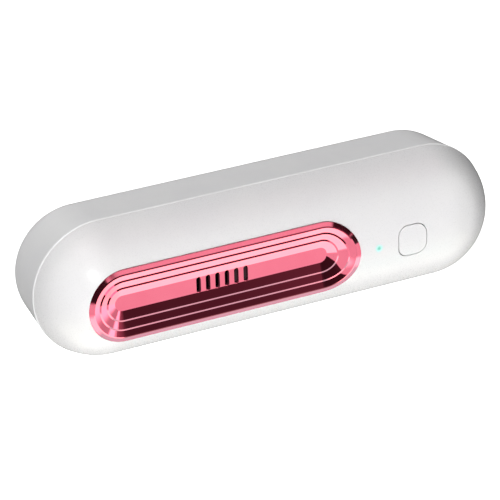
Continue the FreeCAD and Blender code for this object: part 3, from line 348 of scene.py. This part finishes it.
def cell_wrap():
    """Shrink sleeve in one plain colour, with faint lengthwise wrinkles."""
    s = Surface("cell_sleeve")
    wrinkle = s.noise(140.0, stretch=(1, 6, 6))
    s.colour(s.remap(wrinkle), srgb(46, 96, 150), srgb(58, 112, 168))
    s.rough(wrinkle, 0.22, 0.34)
    s.bump(wrinkle, height=3e-5)
    s.set(Coat_Weight=0.4, Coat_Roughness=0.12)
    return s.material


def chamber_lining():
    """Bead-blasted aluminium that lines the UV chamber, faintly lit by what comes through the slots."""
    s = metal_surface("chamber_aluminium", srgb(176, 178, 182), srgb(158, 160, 165), (0.32, 0.48),
                      grain=5200.0, height=5e-6)
    s.drive(s.mix(s.remap(s.noise(500.0)), CHAMBER_GLOW, CHAMBER_GLOW_DEEP), "Emission Color")
    s.set(Emission_Strength=0.04)
    return s.material


def quartz():
    """Clear fused quartz with faint drawing streaks."""
    s = Surface("quartz_glass")
    streaks = s.noise(60.0, detail=2.0, stretch=(1, 1, 5))
    s.colour(s.remap(streaks), srgb(236, 240, 244), srgb(246, 248, 250))
    s.rough(streaks, 0.02, 0.06)
    s.set(Transmission_Weight=0.92, IOR=1.46)
    return s.material


def windings():
    """Enamelled copper laid in close turns."""
    s = Surface("copper_windings")
    turns = s.stripes(1500.0, "Y", distortion=0.4)
    s.colour(turns, srgb(120, 58, 30), srgb(206, 118, 70))
    s.rough(turns, 0.2, 0.4)
    s.bump(turns, height=4e-5)
    s.set(Metallic=1.0)
    return s.material


def filter_mesh():
    """A woven intake screen."""
    s = Surface("filter_weave")
    cross = s.node("ShaderNodeMath", operation="MAXIMUM")
    for socket, direction in zip(cross.inputs, ("X", "Y")):
        s.feed(s.stripes(WEAVE_SCALE, direction), socket)
    weave = cross.outputs[0]
    s.colour(s.remap(weave, start=0.4, stop=0.8), srgb(28, 30, 32), srgb(82, 86, 90))
    s.rough(weave, 0.55, 0.8)
    s.bump(weave, height=1.2e-4)
    return s.material


def lead_sleeve():
    """The red insulation of an inner lead."""
    s = Surface("lead_insulation")
    fine = s.noise(1600.0, detail=2.0)
    s.mottle(80.0, srgb(150, 34, 36), srgb(168, 42, 44))
    s.rough(fine, 0.35, 0.5)
    s.bump(fine, height=6e-6)
    return s.material


# ---- which piece is made of what -------------------------------------------------------------

MATERIALS = {
    "front_cover": front_shell(),
    # The rear case's edge colour is painted shade towards its outline.
    "rear_case": moulded("shell_rear", srgb(233, 233, 233), srgb(230, 230, 231), rough=(0.42, 0.54),
                         grain=3600.0, height=6e-6, edge=OUTLINE_SHADE),
    "power_button": moulded("button_white", WHITE, WHITE_DEEP, **SHELL_FINISH),
    "seal_ring": silicone(),
    "adhesive_pad": adhesive(),
    "vent_tray": plated_rose(),
    "indicator_lens": indicator(),
    "tact_switch": moulded("black_nylon", srgb(24, 24, 25), srgb(34, 34, 36), rough=(0.4, 0.55),
                           grain=3800.0, height=6e-6),
    "switch_plunger": moulded("plunger_white", srgb(214, 214, 210), srgb(226, 226, 222), rough=(0.35, 0.5),
                              grain=2600.0, height=3e-6),
    "status_led": lamp(),
    "main_board": board("board_green", srgb(18, 70, 46), srgb(62, 134, 92)),
    "charge_board": board("board_green_small", srgb(18, 70, 46), srgb(62, 134, 92)),
    "uv_boards": board("board_white", srgb(222, 224, 222), srgb(188, 192, 190)),
    "board_chips": chip(),
    "charge_chips": chip(),
    "board_sockets": moulded("socket_nylon", srgb(222, 218, 204), srgb(232, 229, 216), rough=(0.4, 0.52),
                             grain=2600.0, height=4e-6),
    "port_tongue": moulded("tongue_black", srgb(20, 20, 21), srgb(30, 30, 31), rough=(0.4, 0.52),
                           grain=3800.0, height=4e-6),
    "port_shell": metal("port_nickel", srgb(198, 196, 190), srgb(182, 180, 175), rough=(0.16, 0.28),
                        grain=2600.0, height=2e-6, stretch=(1, 6, 6)),
    "battery_cell": cell_wrap(),
    "cell_cradle": moulded("cradle_black", srgb(28, 28, 30), srgb(38, 38, 40), rough=(0.5, 0.65),
                           grain=3400.0, height=8e-6),
    "cell_contacts": metal("contact_nickel", srgb(206, 204, 198), srgb(190, 188, 182), rough=(0.22, 0.34),
                           grain=2400.0, height=2e-6),
    "uv_chamber": chamber_lining(),
    "uv_lamps": lamp(),
    "quartz_windows": quartz(),
    "fan_frame": moulded("fan_frame_black", srgb(22, 22, 23), srgb(34, 34, 36), rough=(0.45, 0.6),
                         grain=3600.0, height=1e-5),
    "fan_rotor": moulded("fan_rotor_black", srgb(26, 26, 28), srgb(36, 36, 38), rough=(0.35, 0.5),
                         grain=3600.0, height=5e-6),
    "fan_bearing": metal("bearing_brass", srgb(196, 158, 92), srgb(176, 138, 78), rough=(0.24, 0.36),
                         height=2e-6),
    "fan_stator": windings(),
    "rotor_magnet": metal("magnet_ferrite", srgb(70, 70, 74), srgb(54, 54, 58), rough=(0.5, 0.65),
                          grain=4200.0, height=8e-6),
    "rotor_shaft": metal("shaft_steel", srgb(190, 192, 196), srgb(174, 176, 180), rough=(0.12, 0.22),
                         grain=2600.0, stretch=(1, 8, 1)),
    "intake_filter": filter_mesh(),
    "fan_lead": lead_sleeve(),
    "cell_lead": lead_sleeve(),
    "port_lead": lead_sleeve(),
}
SCREW_STEEL = metal("screw_steel", srgb(178, 180, 184), srgb(158, 160, 165), rough=(0.22, 0.38), height=3e-6)

for node_name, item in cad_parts.items():
    item.data.materials.clear()
    item.data.materials.append(MATERIALS.get(node_name, SCREW_STEEL))


# ---- floor and backdrop ----------------------------------------------------------------------

FLOOR_GAP = 0.0002
FLOOR_RADIUS, FLOOR_SIDES = 4.0, 96
FLOOR_PAINT = (0.93, 0.93, 0.93, 1.0)
BACKDROP_RADIUS, BACKDROP_ROUNDS = 4.2, 4
UNSEEN_BY = ("visible_diffuse", "visible_glossy", "visible_transmission", "visible_volume_scatter",
             "visible_shadow")


def glowing(name, paint, light_colour):
    """A matt material that shines in one even colour."""
    material = bpy.data.materials.new(name)
    material.use_nodes = True
    sockets = material.node_tree.nodes["Principled BSDF"].inputs
    sockets["Base Color"].default_value = paint
    sockets["Roughness"].default_value = 0.9
    sockets["Emission Color"].default_value = light_colour
    sockets["Emission Strength"].default_value = 1.0
    return material


def stage_mesh(name, build, material):
    """A surface that only the camera sees, so that it lights nothing and shades nothing."""
    mesh = bpy.data.meshes.new(name)
    shape = bmesh.new()
    build(shape)
    shape.to_mesh(mesh)
    shape.free()
    mesh.materials.append(material)
    item = bpy.data.objects.new(name, mesh)
    bpy.context.scene.collection.objects.link(item)
    for ray in UNSEEN_BY:
        setattr(item, ray, False)
    return item


def disc(shape):
    bmesh.ops.create_circle(shape, cap_ends=True, segments=FLOOR_SIDES, radius=FLOOR_RADIUS)


def ball(shape):
    bmesh.ops.create_icosphere(shape, subdivisions=BACKDROP_ROUNDS, radius=BACKDROP_RADIUS)


floor = stage_mesh("studio_floor", disc, glowing("floor_white", FLOOR_PAINT, FLOOR_PAINT))
floor.location.z = cad_low.z - FLOOR_GAP
stage_mesh("studio_backdrop", ball, glowing("backdrop_white", BLACK, FULL_WHITE))


# ---- what the plating mirrors ----------------------------------------------------------------

# Directions are given by azimuth and elevation in degrees. Azimuth 0 is straight ahead of the front
# and grows towards +X. Level 1 is the white of the floor. The rows of LEVELS pair an azimuth with a
# level, and the rows of EDGE an azimuth with an elevation.
ROOM_LEVELS = ((-80, 0.95), (-20, 0.93), (22, 0.97), (34, 1.05), (38, 0.9), (44, 0.85), (48, 0.65),
               (56, 0.68), (59, 0.9), (62, 1.6), (65, 2.1), (76, 2.0), (84, 0.4))
TABLE_LEVELS = ((-80, 2.45), (64, 2.4), (70, 2.1), (76, 1.9), (79, 1.2), (82, 0.35))
TOP_LEVEL = 2.6
TABLE_EDGE = ((-75, -39), (-60, -34), (-50, -31), (-20, -29), (25, -30), (50, -32))
TABLE_TINT = (1.0, 1.0, 0.86, 1.0)
TABLE_SOFT = 2.5
CARD_EDGE = ((-64, 50), (-58, 10), (-53, 1), (-43, -6), (-34, -9), (-28, -15), (-24, -19), (-10, -19),
             (-4, -18), (3.5, -15), (5, -8), (6.5, -3), (7.5, -0.9), (12, -0.7), (13.5, 3), (30, 4), (36, 6),
             (38, 30), (40, 50))
CARD_LEVELS = ((-60, 0.075), (-40, 0.04), (14, 0.035), (18, 0.05), (24, 0.08), (27, 0.17), (34, 0.35))
CARD_TINT = (1.0, 0.54, 0.68, 1.0)
CARD_SOFT = 1.5
# Patches: level, softness of the border, then left, right, low and high.
SHADE_LEVEL, SHADE_SOFT, SHADE_SPAN = 1.57, 2.5, (3, 45, -57, -42)
SHADE_TINT = (0.48, 1.0, 0.86, 1.0)
STRIP_LEVEL, STRIP_SOFT, STRIP_SPAN = 2.2, 1.2, (38.5, 45.5, -5, 50)
NOTCH_LEVEL, NOTCH_SOFT, NOTCH_SPAN = 0.03, 0.8, (11.9, 17.2, -10.5, -0.3)
# A slanting streak from one direction to another.
STREAK_LEVEL, STREAK_HALF_WIDTH = 2.0, 1.3
STREAK_START, STREAK_END = (7.0, 2.6), (-4.0, -4.6)
# Overhead by elevation, and behind by how far a direction points to the back, from 0 to 1.
OVERHEAD_LEVEL, OVERHEAD_START, OVERHEAD_STOP = 0.7, 48.0, 62.0
BEHIND_LEVEL, BEHIND_START, BEHIND_STOP = 0.3, 0.05, 0.35
HALF_TURN, QUARTER_TURN = 180.0, 90.0


class Surroundings(Nodes):
    """The world under construction. It doesn't light matt surfaces, and the backdrop hides it from
    the camera, so it shows in what is mirrored."""

    def __init__(self, name):
        world = bpy.data.worlds.new(name)
        bpy.context.scene.world = world
        world.cycles_visibility.diffuse = False
        world.use_nodes = True
        super().__init__(world.node_tree)
        split = self.node("ShaderNodeSeparateXYZ")
        self.feed(self.node("ShaderNodeTexCoord").outputs["Generated"], split.inputs[0])
        side, self.depth, height = split.outputs
        ahead = self.compute("MULTIPLY", self.depth, -1.0)
        self.azimuth = self.compute("MULTIPLY", self.compute("ARCTAN2", side, ahead), HALF_TURN / math.pi)
        self.elevation = self.compute("MULTIPLY", self.compute("ARCSINE", height), HALF_TURN / math.pi)
        self.around = self.compute("DIVIDE", self.compute("ADD", self.azimuth, HALF_TURN), 2 * HALF_TURN)

    def compute(self, operation, *values):
        item = self.node("ShaderNodeMath", operation=operation)
        for value, socket in zip(values, item.inputs):
            self.feed(value, socket)
        return item.outputs[0]

    def compute_vector(self, operation, first, second, output="Vector", place=1):
        item = self.node("ShaderNodeVectorMath", operation=operation)
        self.feed(first, item.inputs[0])
        self.feed(second, item.inputs[place])
        return item.outputs[output]

    def step(self, value, start, stop):
        """0 before start, 1 past stop, whichever way they run."""
        return self.remap(value, start=start, stop=stop)

    def along_azimuth(self, stops, top):
        """A level that changes with azimuth, given as stops of degrees and level, none above top."""
        item = self.node("ShaderNodeValToRGB")
        marks = item.color_ramp.elements
        marks.remove(marks[1])
        marks[0].position = 0.0
        marks[0].color = (stops[0][1] / top,) * 3 + (1.0,)
        for angle, level in stops:
            mark = marks.new((angle + HALF_TURN) / (2 * HALF_TURN))
            mark.color = (level / top,) * 3 + (1.0,)
        self.feed(self.around, item.inputs[0])
        return self.compute("MULTIPLY", item.outputs[0], top)

    def above(self, edge, soft):
        """1 above an edge whose elevation changes with azimuth, 0 below it."""
        raised = self.along_azimuth([(angle, height + QUARTER_TURN) for angle, height in edge], HALF_TURN)
        height = self.compute("SUBTRACT", raised, QUARTER_TURN)
        return self.step(self.compute("SUBTRACT", self.elevation, height), -soft, soft)

    def inside(self, span, soft):
        """1 within a span of azimuth and elevation, 0 outside it."""
        left, right, low, high = span
        share = self.compute("MULTIPLY", self.step(self.azimuth, left - soft, left + soft),
                             self.step(self.azimuth, right + soft, right - soft))
        share = self.compute("MULTIPLY", share, self.step(self.elevation, low - soft, low + soft))
        return self.compute("MULTIPLY", share, self.step(self.elevation, high + soft, high - soft))

    def streak(self, start, end, half_width):
        """1 near the line between two directions, 0 away from it."""
        start, end = Vector((*start, 0.0)), Vector((*end, 0.0))
        along = (end - start).normalized()
        place = self.node("ShaderNodeCombineXYZ")
        self.feed(self.azimuth, place.inputs[0])
        self.feed(self.elevation, place.inputs[1])
        offset = self.compute_vector("SUBTRACT", place.outputs[0], start)
        travel = self.compute_vector("DOT_PRODUCT", offset, along, output="Value")
        travel = self.compute("MINIMUM", self.compute("MAXIMUM", travel, 0.0), (end - start).length)
        nearest = self.compute_vector("SCALE", along, travel, place="Scale")
        apart = self.compute_vector("DISTANCE", offset, nearest, output="Value")
        return self.step(apart, 1.5 * half_width, 0.5 * half_width)


def studio_reflections():
    """What mirrors see: a bright table, a paler front, dark cards above it and a bright right side."""
    world = Surroundings("studio_world")
    above_table = world.above(TABLE_EDGE, TABLE_SOFT)
    in_shade = world.inside(SHADE_SPAN, SHADE_SOFT)
    table = world.mix_level(in_shade, world.along_azimuth(TABLE_LEVELS, TOP_LEVEL), SHADE_LEVEL)
    room = world.mix_level(world.inside(STRIP_SPAN, STRIP_SOFT),
                           world.along_azimuth(ROOM_LEVELS, TOP_LEVEL), STRIP_LEVEL)
    on_card = world.above(CARD_EDGE, CARD_SOFT)
    lit = world.mix_level(above_table, table, room)
    for share, level in (
        (on_card, world.along_azimuth(CARD_LEVELS, 1.0)),
        (world.inside(NOTCH_SPAN, NOTCH_SOFT), NOTCH_LEVEL),
        (world.streak(STREAK_START, STREAK_END, STREAK_HALF_WIDTH), STREAK_LEVEL),
        (world.step(world.elevation, OVERHEAD_START, OVERHEAD_STOP), OVERHEAD_LEVEL),
        (world.step(world.depth, BEHIND_START, BEHIND_STOP), BEHIND_LEVEL),
    ):
        lit = world.mix_level(share, lit, level)
    tint = world.mix(in_shade, TABLE_TINT, SHADE_TINT)
    tint = world.mix(above_table, tint, FULL_WHITE)
    tint = world.mix(on_card, tint, CARD_TINT)
    background = world.tree.nodes["Background"]
    world.feed(tint, background.inputs["Color"])
    world.feed(lit, background.inputs["Strength"])


studio_reflections()


# ---- lights ----------------------------------------------------------------------------------

# Softboxes that light the matt surfaces: azimuth and elevation in degrees, as above, and watts.
LIGHT_DISTANCE, LIGHT_SIZE = 1.2, 0.6
LIGHTS = (
    ("key_high", -70.0, 65.0, 7.5),
    ("key_upper", -40.0, 40.0, 1.4),
    ("key_front", -20.0, 10.0, 3.45),
    ("key_low", -40.0, 5.0, 0.7),
    ("front", 0.0, 10.0, 0.5),
    ("fill_low", -35.0, -15.0, 3.9),
    ("front_under", 0.0, -35.0, 4.7),
    ("right_under", 35.0, -35.0, 2.2),
    ("under", 0.0, -89.0, 5.75),
    ("top", 20.0, 60.0, 1.1),
    ("back", 180.0, 25.0, 4.2),
    ("back_under", -140.0, -35.0, 4.9),
)
# A small lamp that shows only as a highlight.
GLINT = ("glint_left", -29.0, 36.5, 5.0)
GLINT_DISTANCE, GLINT_SIZE = 1.5, 0.16


def light(name, azimuth, elevation, power, distance=LIGHT_DISTANCE, size=LIGHT_SIZE, highlight=False):
    """A square softbox that faces the object from this direction."""
    data = bpy.data.lights.new(name, "AREA")
    data.shape = "SQUARE"
    data.size = size
    data.energy = power
    item = bpy.data.objects.new(name, data)
    turn, rise = math.radians(azimuth), math.radians(elevation)
    away = Vector((math.sin(turn) * math.cos(rise), -math.cos(turn) * math.cos(rise), math.sin(rise)))
    item.location = (cad_low + cad_high) / 2 + away * distance
    item.rotation_mode = "QUATERNION"
    item.rotation_quaternion = away.to_track_quat("Z", "Y")
    item.visible_camera = False
    item.visible_glossy = highlight
    item.visible_diffuse = not highlight
    bpy.context.scene.collection.objects.link(item)


for row in LIGHTS:
    light(*row)
light(*GLINT, GLINT_DISTANCE, GLINT_SIZE, highlight=True)


# ---- camera ----------------------------------------------------------------------------------

CAMERA_PLACE = (-0.34455, -0.72201, 0.36816)
YAW, PITCH, ROLL = 0.45332, 0.44282, -0.03004    # radians: to the right, down and anticlockwise
LENS, SENSOR = 216.0, 36.0
CLIP_START, CLIP_END = 0.05, 20.0

camera_data = bpy.data.cameras.new("camera")
camera_data.lens = LENS
camera_data.sensor_width = SENSOR
camera_data.clip_start = CLIP_START
camera_data.clip_end = CLIP_END
camera = bpy.data.objects.new("camera", camera_data)
bpy.context.scene.collection.objects.link(camera)
ahead = Vector((math.sin(YAW) * math.cos(PITCH), math.cos(YAW) * math.cos(PITCH), -math.sin(PITCH)))
level = Vector((math.cos(YAW), -math.sin(YAW), 0.0))
upright = level.cross(ahead)
right = level * math.cos(ROLL) + upright * math.sin(ROLL)
above = upright * math.cos(ROLL) - level * math.sin(ROLL)
turned = Matrix((right, above, -ahead)).transposed()
camera.matrix_world = Matrix.Translation(CAMERA_PLACE) @ turned.to_4x4()
bpy.context.scene.camera = camera
bpy.context.scene.view_settings.view_transform = "Standard"
bpy.context.scene.view_settings.look = "None"
